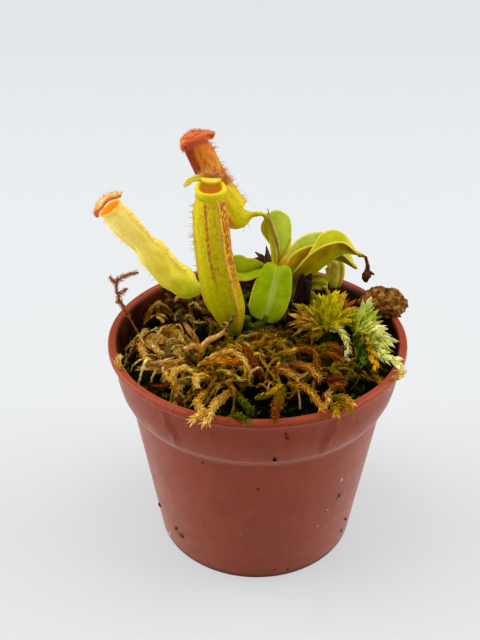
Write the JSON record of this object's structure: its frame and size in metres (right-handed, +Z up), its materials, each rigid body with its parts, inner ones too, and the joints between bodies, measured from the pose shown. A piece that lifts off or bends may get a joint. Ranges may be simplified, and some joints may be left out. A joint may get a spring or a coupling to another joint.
{
  "type": "potted pitcher plant",
  "caption": "Young tropical pitcher plant with upright hollow pitchers and folded leaves, growing in bog moss in a small round nursery pot with a stepped collar.",
  "frame": {"origin": "centre of the underside of the pot, on the surface that it stands on", "axes": "+Z up; the front that the picture shows faces -Y, with +X to the right seen from there"},
  "size_m": [0.0638, 0.0608, 0.0856],
  "materials": {
    "pot": "satin thermoformed plastic, terracotta brown",
    "soil": "damp dark peat",
    "stem": "smooth yellow-green plant stem with an orange growing tip",
    "leaf_green": "satin green leaf with a pale rib",
    "leaf_light": "satin light green leaf",
    "leaf_olive": "satin olive leaf with a yellow rib and brown tip",
    "pitcher_green": "waxy yellow-green pitcher with red-brown mottling",
    "pitcher_yellow": "waxy yellow pitcher with an orange mouth",
    "pitcher_red": "waxy orange-brown pitcher, yellow-green low down",
    "dead_dark": "black-brown dead stem",
    "dead_brown": "dry brown plant remains",
    "straw": "dry straw with a dark tip",
    "moss_star": "living yellow-green bog moss with red-brown tips",
    "moss_pale": "living pale bog moss",
    "moss_ochre": "dead ochre bog moss strands",
    "moss_tan": "dead tan bog moss strands",
    "moss_green": "green bog moss",
    "moss_lump": "brown warty clump of old moss"
  },
  "bodies": {
    "root": {"pot": "pot", "soil": "soil", "stem": "stem", "leaf_upright": "leaf_light", "leaf_front": "leaf_green", "leaf_left": "leaf_green", "leaf_long": "leaf_olive", "leaf_back": "leaf_olive", "leaf_drooping": "leaf_green", "leaf_small": "leaf_olive", "pitcher_centre": "pitcher_green", "pitcher_left": "pitcher_yellow", "pitcher_back": "pitcher_red", "dried_tendril": "dead_brown", "dead_stem": "dead_dark", "dead_leaf": "dead_brown", "straw_stick": "straw", "straw_stub": "straw", "moss_sprig": "dead_brown", "moss_star": "moss_star", "moss_star_pale": "moss_pale", "moss_left": "moss_tan", "moss_centre": "moss_ochre", "moss_right": "moss_ochre", "moss_back_left": "moss_tan", "moss_back": "moss_green", "moss_lump": "moss_lump"}
  },
  "joints": []
}
